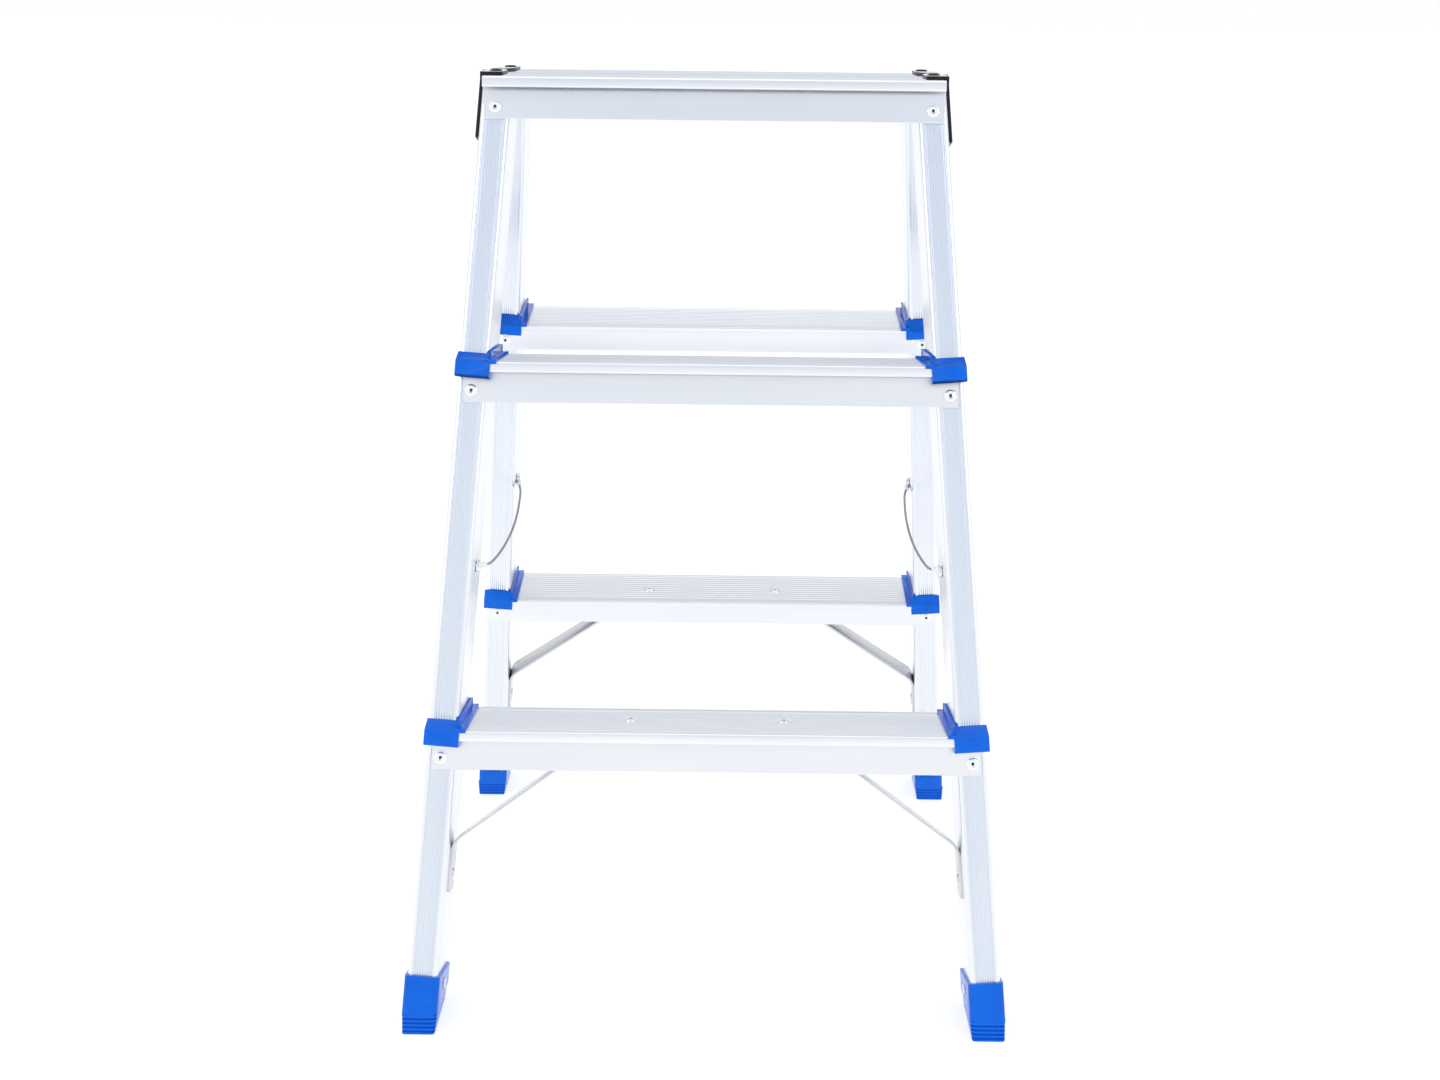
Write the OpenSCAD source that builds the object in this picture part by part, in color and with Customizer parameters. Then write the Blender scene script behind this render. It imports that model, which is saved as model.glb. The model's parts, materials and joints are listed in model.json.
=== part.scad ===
// Two-way folding step ladder: two aluminium frames hinged together under a split top step.
// Each frame has two stiles, two notched treads, half of the top step, blue tread-end caps,
// blue feet and two diagonal stays. Two wire ropes join the frames below the middle treads.
// Millimetres. The floor is Z = 0 and the hinge axis lies along X over the origin.
// The front frame stands on the -Y side and the rear frame on the +Y side.

/* [Ladder] */
// Height of the top step above the floor
height = 653; // [620:1:784]
// Height of the middle treads' noses above the floor
middle_height = 460; // [435:1:475]
// Height of the bottom treads' noses above the floor
bottom_height = 210; // [170:1:252]
// Lean of each frame from upright when the ladder is open, in degrees
lean = 15; // [12:0.5:18]
// Width over the stiles at the top step
top_width = 325; // [270:1:395]
// Width over the stiles at the floor
foot_width = 423; // [400:1:508]

/* [Stiles] */
// Stile width, seen from the front
stile_w = 21; // [17.5:0.1:25.2]
// Stile depth, seen from the side
stile_d = 52; // [43:0.5:63]
// Wall thickness of the stiles
stile_wall = 1.4; // [1.1:0.1:1.8]
// Half of the gap between the two frames' stiles when the ladder is folded
fold_gap = 24; // [20:0.5:30]
// Depth of the ribbed channel in the stile faces
channel_d = 0.5; // [0.3:0.1:0.7]

/* [Treads] */
// Reach of a tread's nose beyond the stile's outer face
nose_reach = 10; // [8:0.5:13]
// Reach of a tread's inner edge beyond the stile's inner face
inner_reach = 5; // [4:0.5:7]
// Inward tilt of the middle and bottom treads, in degrees
tread_tilt = 5; // [3:0.5:7]
// Thickness of a tread's top plate
plate_t = 2.2; // [1.9:0.1:2.7]
// Thickness of the aprons that hang from a tread
apron_t = 1.6; // [1.3:0.1:2]
// Drop of the outer apron below the nose
apron_drop = 28; // [26:0.5:33]
// Drop of the inner apron below the inner edge
inner_apron_drop = 23; // [20:0.5:27]
// Height of the nose lip
lip_h = 7.4; // [6:0.2:9]
// Height of the lip on the inner edge
inner_lip_h = 4.4; // [4:0.2:5.4]
// How far a middle tread's aprons stop short of the stiles' outer sides
middle_inset = 3.5; // [2.5:0.5:5]
// How far a bottom tread's aprons stop short of the stiles' outer sides
bottom_inset = 3; // [2.5:0.5:5]
// Spacing of the grip grooves
groove_pitch = 4.8; // [4:0.2:5.8]

/* [Rivets] */
// Shank of the apron rivets
rivet_d = 4.8; // [4:0.1:5.6]
// Head of the apron rivets
rivet_head = 10; // [8.4:0.2:12]
// Distance of the outer apron rivets below the nose
rivet_drop = 19.5; // [18:0.5:21]
// Distance of the inner apron rivets below the inner edge
inner_rivet_drop = 14.5; // [13.5:0.5:15.5]

/* [Hinges] */
// Thickness of the hinge leaves
leaf_t = 2.4; // [2:0.1:2.9]
// Distance of the hinge axis below the top step
pivot_drop = 24; // [22:0.5:28]
// Diameter of the hinge pins
pin_d = 6; // [5:0.1:7.2]
// Radius of the eye of a hinge leaf
eye_r = 12; // [10:0.2:14]
// Length of the strap that runs down the stile
strap_len = 41; // [36:1:50]

/* [Stays] */
// Width of the diagonal stays
stay_w = 20; // [17:0.5:24]
// Thickness of the diagonal stays
stay_t = 2; // [1.7:0.1:2.4]
// Distance of the stay rivets from the middle of the tread
stay_rivet_x = 55; // [48:1:66]
// Distance of the stay's lower bend below the tread
stay_drop = 85; // [75:1:100]
// Length of the flat end riveted to the stile
stay_end = 36; // [30:1:43]
// Height of the wire rope anchors above the floor
wire_height = 313; // [309:1:317]

/* [Caps and feet] */
// Skin thickness of the tread-end caps
cap_t = 1.4; // [1.2:0.1:1.7]
// Width of the cap's tongue beside the stile
tongue_w = 6.5; // [5:0.5:9]
// Height of the cap's collar against the stile
collar_h = 7; // [6:0.5:8.4]
// Wall thickness of the feet
foot_wall = 2; // [1.7:0.1:2.4]
// Height of the feet
foot_h = 40; // [34:1:48]
// Height of the ribbed sole
sole_h = 13; // [11:0.5:15.5]

/* [Hidden] */
$fn = 48;
SIDES = [-1, 1];
pivot_z = height - pivot_drop;
stile_in = fold_gap;
stile_out = fold_gap + stile_d;
stile_mid = fold_gap + stile_d / 2;
nose_out = stile_out + nose_reach;
inner_out = stile_in - inner_reach;
// Where the top step's surface crosses the middle of the stile, along the frame
stile_top = (pivot_drop - stile_mid * sin(lean)) / cos(lean);
frame_len = height / cos(lean);
splay = atan((foot_width - top_width) / 2 / frame_len);
step_gap = 0.4;
fit = 0.2;
notch_fit = 0.1;
shell_r = 2;
nose_r = 2.2;
// Gap between the top step's ends and the hinge leaves, which clears the splayed stiles this far down
leaf_clear = 22.1;
leaf_gap = leaf_clear * tan(splay);
leaf_x = top_width / 2 + leaf_gap;
layer_gap = 0.3;
leaf_reach = 62;
flange_w = 12;
strap_w = stile_d - 6;
strap_top = 9;
// Distances of the strap rivets from the strap's top and from its lower end
strap_rivet_top = 12;
strap_rivet_end = 8;
pin_fit = 0.05;
pin_head = 12;
pin_head_t = 2;
stay_rivet_d = 5;
foot_rivet_z = foot_h * 0.6;
foot_floor = 6;
wire_d = 2;
wire_sides = 8;
loop_r = 4.4;
ferrule_len = 10;
ferrule_d = 4.4;
// Centre line of the right wire rope, from the front ferrule to the rear ferrule
WIRE_ROUTE = [
    [163, -122, 309], [160.5, -105, 305.5], [158.3, -75, 303.5], [156.5, -40, 303], [155.8, 0, 303.5],
    [156.5, 40, 305], [158.3, 75, 306.5], [160.5, 105, 308], [163, 122, 309]];
wire_steps = 6;
rope_end = WIRE_ROUTE[len(WIRE_ROUTE) - 1];
rope_before_end = WIRE_ROUTE[len(WIRE_ROUTE) - 2];
function flip(p) = [p.x, -p.y, p.z];

// ---- Frames of reference ----

// Local frame of the front ladder frame: +Z up the stiles, -Y outwards, origin on the hinge axis
module at_front() {
    translate([0, 0, pivot_z]) rotate([-lean, 0, 0]) children();
}

// The rear frame mirrors the front one
module at_rear() {
    mirror([0, 1, 0]) at_front() children();
}

module at_side(side) {
    mirror([side < 0 ? 1 : 0, 0, 0]) children();
}

// Stile axes in the local frame: +Z up the stile, X = 0 on its outer side and -stile_w on its inner side
module on_stile(side) {
    at_side(side) translate([top_width / 2, 0, stile_top]) rotate([0, -splay, 0]) children();
}

// Everything in the local frame that lies between two heights above the floor
module level_slab(low, high) {
    rotate([lean, 0, 0]) translate([-600, -600, low - pivot_z]) cube([1200, 1200, high - low]);
}

// Local height of a nose edge that stands at a height above the floor
function nose_z(h) = (h - pivot_z - nose_out * sin(lean)) / cos(lean);

// Outer half-width of the ladder at a local height
function half_width(z) = top_width / 2 + (stile_top - z) * tan(splay);

// Tread axes: origin on the nose edge, +Y inwards along the surface, +Z out of it
module on_tread(h, tilt) {
    translate([0, -nose_out, nose_z(h)]) rotate([lean - tilt, 0, 0]) children();
}

// Local height of a tread's surface at a distance out from the hinge plane
function surface_z(h, tilt, out) = nose_z(h) + (nose_out - out) * tan(lean - tilt);

// Draws a section in Y and Z along X
module along_x(width) {
    rotate([90, 0, 90]) linear_extrude(width, center = true) children();
}

module rounded_rect(w, d, r) {
    square([w - 2 * r, d], center = true);
    square([w, d - 2 * r], center = true);
    for (x = SIDES, y = SIDES) {
        translate([x * (w / 2 - r), y * (d / 2 - r)]) circle(r);
    }
}

// ---- Rivets ----

// Blind rivet on the plane Z = 0 with its shank going down
module rivet(head, shank, length) {
    head_t = head * 0.27;
    dome_r = (head * head / 4 + head_t * head_t) / (2 * head_t);
    difference() {
        union() {
            rotate_extrude() intersection() {
                translate([0, head_t - dome_r]) circle(dome_r, $fn = 96);
                square([head, head_t]);
            }
            translate([0, 0, -length]) cylinder(h = length + 0.1, d = shank);
        }
        translate([0, 0, head_t - 1.4]) cylinder(h = 2, d = shank * 0.52);
    }
}

// Turns +Z to point out of the frame's outer face, or out of its inner face
module face_out() { rotate([90, 0, 0]) children(); }
module face_in() { rotate([-90, 0, 0]) children(); }

// The steps of a frame: height, tilt and apron inset
STEPS = [[height, 0, 0], [middle_height, tread_tilt, middle_inset], [bottom_height, tread_tilt, bottom_inset]];

// Local heights of a step's outer and inner rivets
function outer_rivet_z(s) = nose_z(s[0]) - rivet_drop;
function inner_rivet_z(s) = surface_z(s[0], s[1], inner_out) - inner_rivet_drop;

// Middle of the stile's width at a local height
function stile_mid_x(z) = half_width(z) - stile_w / 2 / cos(splay);

// Places something at every apron rivet of a frame, with +Z out of the apron
module at_outer_rivets(side, lift) {
    for (s = STEPS) {
        translate([side * stile_mid_x(outer_rivet_z(s)), -stile_out - lift, outer_rivet_z(s)])
            face_out() children();
    }
}

module at_inner_rivets(side, lift) {
    for (s = STEPS) {
        translate([side * stile_mid_x(inner_rivet_z(s)), -stile_in + lift, inner_rivet_z(s)])
            face_in() children();
    }
}

module tread_rivets() {
    color("silver") for (side = SIDES) {
        at_outer_rivets(side, apron_t) rivet(rivet_head, rivet_d, apron_t + stile_wall + 3);
        at_inner_rivets(side, apron_t) rivet(rivet_head, rivet_d, apron_t + stile_wall + 3);
    }
}

module tread_rivet_holes(side) {
    at_outer_rivets(side, apron_t) cylinder(h = 20, d = rivet_d, center = true);
    at_inner_rivets(side, apron_t) cylinder(h = 20, d = rivet_d, center = true);
}

// ---- Stiles ----

module stile_section() {
    rib = 0.5;
    channel_w = stile_w * 0.64;
    ribs = 7;
    difference() {
        rounded_rect(stile_w, stile_d, shell_r);
        rounded_rect(stile_w - 2 * stile_wall - 0.6, stile_d - 2 * stile_wall - 2 * channel_d, 1);
        for (face = SIDES) {
            difference() {
                translate([0, face * stile_d / 2]) square([channel_w, 2 * channel_d], center = true);
                for (i = [0 : ribs - 1]) {
                    translate([(i - (ribs - 1) / 2) * channel_w / ribs, face * (stile_d / 2 - channel_d)])
                        square([rib, channel_d], center = true);
                }
            }
        }
    }
}

// Room taken by a stile, for what fits round it
module stile_room(side, grow) {
    on_stile(side) translate([-stile_w - grow, -stile_out - notch_fit, -frame_len - 20])
        cube([stile_w + grow + 30, stile_d + 2 * notch_fit, frame_len + 60]);
}

module stile(side) {
    foot_floor = 6;
    under_top = plate_t + 0.3;
    color("gainsboro") difference() {
        intersection() {
            on_stile(side) translate([-stile_w / 2, -stile_mid, -frame_len - 20])
                linear_extrude(frame_len + 60) stile_section();
            level_slab(foot_floor, height - under_top);
        }
        tread_rivet_holes(side);
        at_stay_ends(side) cylinder(h = 12, d = stay_rivet_d, center = true);
        at_strap_rivets(side) cylinder(h = 12, d = stay_rivet_d, center = true);
        at_foot_rivet(side) cylinder(h = 12, d = rivet_d, center = true);
        at_wire_anchor(side) cylinder(h = 12, d = rivet_d, center = true);
    }
}

// ---- Treads and top step ----

// Solid section of a tread's surface, without grooves; length runs from the nose to the inner edge
module surface_section(length) {
    translate([nose_r, -plate_t]) square([length - nose_r - 1, plate_t]);
    translate([nose_r, -nose_r]) circle(nose_r);
    translate([0, 1.1 - lip_h]) square([nose_r, lip_h - nose_r - 1.1]);
    translate([1.3, 1.3 - lip_h]) circle(1.3);
    translate([length - 1, -1]) circle(1);
    translate([length - 2, 1 - inner_lip_h]) square([2, inner_lip_h - 2]);
    translate([length - 1, 1 - inner_lip_h]) circle(1);
}

// Grip grooves across a surface
module groove_cuts(length) {
    first = 7;
    count = floor((length - 2 * first) / groove_pitch);
    for (i = [0 : count]) {
        translate([first + i * groove_pitch, -0.7]) square([1.8, 2]);
    }
}

// Apron from the surface down, with its outer skin at a distance out from the hinge plane
module apron(h, tilt, out, drop_z, width) {
    top_z = surface_z(h, tilt, out - apron_t / 2) - plate_t / 2;
    translate([-width / 2, -out, drop_z]) cube([width, apron_t, top_z - drop_z]);
}

function surface_length(tilt, reach_out) = (nose_out - reach_out) / cos(lean - tilt);
function outer_apron_z(h) = nose_z(h) - apron_drop;
function inner_apron_z(h, tilt) = surface_z(h, tilt, inner_out) - inner_apron_drop;

// Full-width body of a tread or half-step
module tread_body(h, tilt, length, width, grooved) {
    on_tread(h, tilt) along_x(width) difference() {
        surface_section(length);
        if (grooved) groove_cuts(length);
    }
    apron(h, tilt, stile_out + apron_t, outer_apron_z(h), width);
    apron(h, tilt, stile_in, inner_apron_z(h, tilt), width);
}

module tread(h, inset) {
    width = 2 * (half_width(nose_z(h)) - inset);
    color("whitesmoke") difference() {
        tread_body(h, tread_tilt, surface_length(tread_tilt, inner_out), width, true);
        for (side = SIDES) {
            stile_room(side, fit);
            tread_rivet_holes(side);
            if (h == bottom_height) at_tread_stay_rivet(side) cylinder(h = 12, d = rivet_d, center = true);
        }
    }
}

// Half of the top step: its surface is level and reaches to the middle of the ladder
module top_step() {
    reach = level_length();
    color("whitesmoke") difference() {
        tread_body(height, 0, reach, top_width, true);
        for (side = SIDES) {
            tread_rivet_holes(side);
            at_flange_rivet(side) cylinder(h = 12, d = rivet_d - 1, center = true);
        }
    }
}

// Length of the level half-step, from the nose to the gap at the middle of the ladder
function level_length() = nose_out * cos(lean) - nose_z(height) * sin(lean) - step_gap;

// ---- Caps ----

module cap(h, side) {
    nose_top = nose_z(h);
    inner_top = surface_z(h, tread_tilt, inner_out);
    front_h = 10;
    outer_lap = 1;
    inner_lap = 2.4;
    rise = 8;
    length = surface_length(tread_tilt, inner_out);
    width = stile_w + outer_lap + inner_lap;
    color("royalblue") difference() {
        union() {
            on_stile_at(side, nose_top) translate([(outer_lap - inner_lap - stile_w) / 2, 0, 0])
                along_x(width) {
                    polygon([
                        [-nose_out - cap_t, 1.2 - front_h], [-nose_out - cap_t, 0.6],
                        [-nose_out - cap_t + 1.2, 1.8], [-stile_out - fit, rise], [-stile_out - fit, -front_h],
                        [-nose_out - cap_t + 1.2, -front_h]]);
                    polygon([
                        [-stile_in + fit, rise + inner_top - nose_top], [-inner_out + cap_t, inner_top - nose_top + 1.6],
                        [-inner_out + cap_t, inner_top - nose_top - 7], [-stile_in + fit, inner_top - nose_top - 7]]);
                }
            intersection() {
                on_stile_at(side, nose_top) translate([-stile_w - tongue_w, -nose_out - cap_t, -30])
                    cube([tongue_w - fit, nose_out - inner_out + 2 * cap_t, 60]);
                on_tread(h, tread_tilt) translate([-400, -cap_t, -plate_t / 2])
                    cube([800, length + 2 * cap_t, plate_t / 2 + 1.6]);
            }
            on_tread(h, tread_tilt) intersection() {
                translate([-400, 3, 0]) cube([800, length - 4, collar_h]);
                tread_axes_back(h) on_stile_at(side, nose_top) translate([-stile_w - 2.2, -nose_out, -30])
                    cube([2.2 - fit, nose_out, 80]);
            }
        }
        tread_body(h, tread_tilt, length, 900, false);
        stile_room(side, fit);
    }
}

// Stile axes with the origin at a local height on the stile's outer side
module on_stile_at(side, z) {
    at_side(side) translate([half_width(z), 0, z]) rotate([0, -splay, 0]) children();
}

// Back from tread axes to the local frame
module tread_axes_back(h) {
    rotate([tread_tilt - lean, 0, 0]) translate([0, nose_out, -nose_z(h)]) children();
}

// ---- Feet ----

module foot_slice(side, z, thick, inset) {
    y = -stile_mid / cos(lean) + (z - pivot_z) * tan(lean);
    x = half_width((z - pivot_z) / cos(lean) - stile_mid * tan(lean)) - stile_w / 2;
    w = stile_w + 2 * foot_wall - 2 * inset;
    d = (stile_d + 2 * foot_wall) / cos(lean) - 2 * inset;
    translate([side * x, y, z]) linear_extrude(thick) rounded_rect(w, d, 2.5);
}

// The sole is drawn upright on the floor and the sleeve along the stile
module foot(side) {
    ribs = 4;
    rib_h = sole_h / (2 * ribs + 1);
    // The sleeve's rim is square to the stile and its front edge is foot_h above the floor
    rim = ((foot_h - pivot_z - stile_out * sin(lean)) / cos(lean) - stile_top) / cos(splay);
    color("royalblue") difference() {
        union() {
            for (i = [0 : 2 * ribs]) {
                foot_slice(side, i * rib_h, rib_h + 0.01, i % 2 == 0 ? 0.9 - 0.1 * i : 2 - 0.1 * i);
            }
            translate([0, 0, pivot_z]) rotate([-lean, 0, 0]) intersection() {
                on_stile(side) translate([-stile_w / 2, -stile_mid, rim - frame_len])
                    linear_extrude(frame_len)
                        rounded_rect(stile_w + 2 * foot_wall, stile_d + 2 * foot_wall, 4);
                level_slab(sole_h - rib_h / 2, foot_h + stile_d);
            }
        }
        at_front() {
            intersection() {
                on_stile(side) translate([-stile_w / 2, -stile_mid, -frame_len - 20])
                    linear_extrude(frame_len) rounded_rect(stile_w, stile_d, shell_r);
                level_slab(foot_floor, foot_h + 50);
            }
            at_foot_rivet(side) cylinder(h = 12, d = rivet_d, center = true);
        }
    }
}

// Inner side of the stile near the top of the foot, +Z pointing away from the stile
module at_foot_rivet(side) {
    z = (foot_rivet_z - pivot_z - stile_mid * sin(lean)) / cos(lean);
    on_stile_at(side, z) translate([-stile_w, -stile_mid, 0]) rotate([0, -90, 0]) children();
}

module foot_rivets() {
    color("silver") for (side = SIDES) {
        at_foot_rivet(side) translate([0, 0, foot_wall]) rivet(rivet_head * 0.8, rivet_d, foot_wall + stile_wall + 2);
    }
}

// ---- Diagonal stays ----

// Surface centre over a stay rivet, +Z out of the tread
module at_tread_stay_rivet(side) {
    along = (nose_out - stile_mid) / cos(lean - tread_tilt);
    on_tread(bottom_height, tread_tilt) translate([side * stay_rivet_x, along, 0]) children();
}

function stay_top_z() = surface_z(bottom_height, tread_tilt, stile_mid) - plate_t;
function stay_bend_z() = stay_top_z() - stay_drop;

// Riveted flat end of the stay on the stile's inner side, +Z pointing away from the stile
module at_stay_ends(side) {
    on_stile_at(side, stay_bend_z() - stay_end + 12)
        translate([-stile_w, -stile_mid, 0]) rotate([0, -90, 0]) children();
}

module stay(side) {
    bend_z = stay_bend_z();
    start_x = stay_rivet_x + 9;
    // The strip's outer face: under the tread, at the lower bend and at its end against the stile
    bend = [half_width(bend_z) - stile_w / cos(splay), bend_z];
    slope = atan2(stay_drop, bend.x - start_x);
    start = [start_x - 2 * cos(slope), stay_top_z() + 2 * sin(slope)];
    end = bend + stay_end * [sin(splay), -cos(splay)];
    // Directions from the outer face through the strip, on the diagonal and beside the stile
    down = [-sin(slope), -cos(slope)];
    inward = [-cos(splay), -sin(splay)];
    // The flat end under the tread is turned a little to lie flush, so it is a touch narrower
    flat_w = stay_w - 1;
    // The diagonal ends this far inside the skin of the flat end
    bite = stay_t / 5;
    color("gainsboro") difference() {
        union() {
            on_tread(bottom_height, tread_tilt)
                translate([side > 0 ? stay_rivet_x - 11 : -start_x - 2,
                           (nose_out - stile_mid) / cos(lean - tread_tilt) - flat_w / 2, -plate_t - stay_t])
                cube([start_x - stay_rivet_x + 13, flat_w, stay_t]);
            difference() {
                at_side(side) translate([0, -stile_mid + stay_w / 2, 0]) rotate([90, 0, 0]) linear_extrude(stay_w)
                    polygon([start, bend, end, end + stay_t * inward,
                             bend + stay_t * (down + inward) / (1 + down * inward), start + stay_t * down]);
                on_tread(bottom_height, tread_tilt) translate([-400, -50, -plate_t - bite]) cube([800, 200, 100]);
            }
        }
        at_tread_stay_rivet(side) cylinder(h = 12, d = rivet_d, center = true);
        at_stay_ends(side) cylinder(h = 12, d = stay_rivet_d, center = true);
    }
}

module stay_rivets() {
    color("silver") for (side = SIDES) {
        at_tread_stay_rivet(side) rivet(rivet_head, rivet_d, plate_t + stay_t + 1.5);
        at_stay_ends(side) translate([0, 0, stay_t]) rivet(rivet_head, stay_rivet_d, stay_t + stile_wall + 2);
    }
}

// ---- Hinges ----

// Strap rivets on the stile's outer side, +Z pointing away from the stile
module at_strap_rivets(side) {
    for (drop = [strap_rivet_top, strap_len - strap_rivet_end]) {
        on_stile_at(side, stile_top) translate([0, -stile_mid, -strap_top - drop]) rotate([0, 90, 0]) children();
    }
}

// Flange rivet on top of the half-step, +Z up, in the local frame
module at_flange_rivet(side) {
    rotate([lean, 0, 0]) translate([side * (top_width / 2 - flange_w / 2), -leaf_reach + 14, pivot_drop])
        children();
}

// Leaf in world axes for the front frame; layer 0 lies against the step end and layer 1 outside it
module leaf(side, outer_eye) {
    side_bottom = 12;
    eye_x = leaf_x + (outer_eye ? leaf_t + layer_gap : 0);
    flange_end = step_gap + 6;
    color("dimgray") difference() {
        union() {
            at_side(side) {
                translate([top_width / 2 - flange_w, 0, height]) linear_extrude(leaf_t) polygon([
                    [0, -leaf_reach], [flange_w + leaf_gap + leaf_t, -leaf_reach],
                    [flange_w + leaf_gap + leaf_t, -flange_end], [5, -flange_end], [0, -flange_end - 20]]);
                translate([leaf_x, -leaf_reach, height - side_bottom])
                    cube([leaf_t, leaf_reach - 20, side_bottom + leaf_t]);
                if (outer_eye) translate([leaf_x, -26, height - side_bottom])
                    cube([2 * leaf_t + layer_gap, 7, side_bottom + leaf_t]);
                translate([eye_x + leaf_t / 2, 0, 0]) along_x(leaf_t) {
                    translate([0, pivot_z]) circle(eye_r);
                    polygon([
                        [-26, height + leaf_t], [-flange_end, height + leaf_t], [eye_r - 4, pivot_z + 8],
                        [0, pivot_z - eye_r], [-eye_r, pivot_z], [-26, height - side_bottom]]);
                }
            }
            translate([0, 0, pivot_z]) rotate([-lean, 0, 0])
                on_stile_at(side, stile_top) translate([0, -stile_mid - strap_w / 2, -strap_top - strap_len])
                    cube([leaf_t, strap_w, strap_len]);
        }
        at_side(side) translate([leaf_x - 5, 0, pivot_z]) rotate([0, 90, 0])
            cylinder(h = 20, d = pin_d + (outer_eye ? 0 : 2 * pin_fit));
        at_front() {
            at_strap_rivets(side) cylinder(h = 12, d = stay_rivet_d, center = true);
            at_flange_rivet(side) cylinder(h = 12, d = rivet_d - 1, center = true);
        }
    }
}

module hinge_rivets() {
    color("dimgray") for (side = SIDES) {
        at_strap_rivets(side) translate([0, 0, leaf_t]) rivet(rivet_head * 0.9, stay_rivet_d, leaf_t + stile_wall + 2);
        at_flange_rivet(side) translate([0, 0, leaf_t]) rivet(rivet_head * 0.8, rivet_d - 1, leaf_t + plate_t + 1.5);
    }
}

// Pin through both eyes of a hinge, with a flat head inside and a domed head outside
module hinge_pin(side) {
    stack = 2 * leaf_t + layer_gap;
    color("gray") at_side(side) translate([leaf_x, 0, pivot_z]) rotate([0, 90, 0]) {
        translate([0, 0, -layer_gap - pin_head_t]) cylinder(h = pin_head_t, d = pin_head);
        translate([0, 0, -layer_gap]) cylinder(h = stack + layer_gap, d = pin_d);
        translate([0, 0, stack]) rotate_extrude() intersection() {
            translate([0, pin_head_t - pin_head]) circle(pin_head, $fn = 96);
            square([pin_head * 0.55, pin_head_t]);
        }
    }
}

// ---- Wire ropes ----

// Anchor on the stile's inner side, +Z pointing away from the stile, +X down the stile
module at_wire_anchor(side) {
    z = (wire_height - pivot_z - stile_mid * sin(lean)) / cos(lean);
    on_stile_at(side, z) translate([-stile_w, -stile_mid, 0]) rotate([0, -90, 0]) children();
}

module wire_rivets() {
    color("silver") for (side = SIDES) {
        at_wire_anchor(side) translate([0, 0, wire_d]) rivet(rivet_head, rivet_d, wire_d + stile_wall + 2);
    }
}

// Crimped eye round the anchor rivet, with its sleeve pointing along the rope from its first point
module ferrules(tip, next) {
    color("silver") for (side = SIDES) {
        at_front() at_wire_anchor(side) translate([0, 0, wire_d / 2])
            rotate_extrude() translate([loop_r - wire_d / 2 + 0.2, 0]) circle(wire_d / 2 - 0.05, $fn = 24);
        at_side(side) rope_sleeve(tip, next - tip);
    }
}

// Sleeve whose end face meets the rope's end
module rope_sleeve(tip, aim) {
    translate(tip) rotate([0, 0, atan2(aim[1], aim[0])]) rotate([0, 90 - asin(aim[2] / norm(aim)), 0])
        translate([0, 0, -ferrule_len - 0.02]) cylinder(h = ferrule_len, d = ferrule_d);
}

// Smooth point on the route between points i and i + 1
function clampi(i) = max(0, min(len(WIRE_ROUTE) - 1, i));
function route_point(i, t) =
    let (a = WIRE_ROUTE[clampi(i - 1)], b = WIRE_ROUTE[i], c = WIRE_ROUTE[clampi(i + 1)], d = WIRE_ROUTE[clampi(i + 2)])
    0.5 * (2 * b + (c - a) * t + (2 * a - 5 * b + 4 * c - d) * t * t + (3 * b - a - 3 * c + d) * t * t * t);

module wire_rope(side) {
    last = len(WIRE_ROUTE) - 2;
    path = [for (i = [0 : last]) for (k = [0 : wire_steps - 1]) route_point(i, k / wire_steps), WIRE_ROUTE[last + 1]];
    n = len(path);
    rings = [for (i = [0 : n - 1])
        let (d = path[min(i + 1, n - 1)] - path[max(i - 1, 0)], t = d / norm(d),
             u = cross(t, [0, 0, 1]) / norm(cross(t, [0, 0, 1])), v = cross(u, t))
        for (k = [0 : wire_sides - 1])
            path[i] + wire_d / 2 * (cos(360 * k / wire_sides) * u + sin(360 * k / wire_sides) * v)];
    walls = [for (i = [0 : n - 2]) for (k = [0 : wire_sides - 1])
        let (a = i * wire_sides + k, b = i * wire_sides + (k + 1) % wire_sides)
        [a, b, b + wire_sides, a + wire_sides]];
    ends = [[for (k = [wire_sides - 1 : -1 : 0]) k], [for (k = [0 : wire_sides - 1]) (n - 1) * wire_sides + k]];
    color("darkgray") at_side(side) polyhedron(rings, concat(walls, ends));
}

// ---- Front frame ----
at_front() stile(-1);  // front_left_stile
at_front() stile(1);  // front_right_stile
at_front() top_step();  // front_top_step
at_front() tread(middle_height, middle_inset);  // front_middle_tread
at_front() tread(bottom_height, bottom_inset);  // front_bottom_tread
at_front() cap(middle_height, -1);  // front_middle_left_cap
at_front() cap(middle_height, 1);  // front_middle_right_cap
at_front() cap(bottom_height, -1);  // front_bottom_left_cap
at_front() cap(bottom_height, 1);  // front_bottom_right_cap
foot(-1);  // front_left_foot
foot(1);  // front_right_foot
at_front() stay(-1);  // front_left_stay
at_front() stay(1);  // front_right_stay
leaf(-1, true);  // front_left_hinge_leaf
leaf(1, true);  // front_right_hinge_leaf
at_front() tread_rivets();  // front_tread_rivets
at_front() stay_rivets();  // front_stay_rivets
at_front() hinge_rivets();  // front_hinge_rivets
at_front() foot_rivets();  // front_foot_rivets
at_front() wire_rivets();  // front_wire_rivets
ferrules(WIRE_ROUTE[0], WIRE_ROUTE[1]);  // front_wire_ferrules

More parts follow.
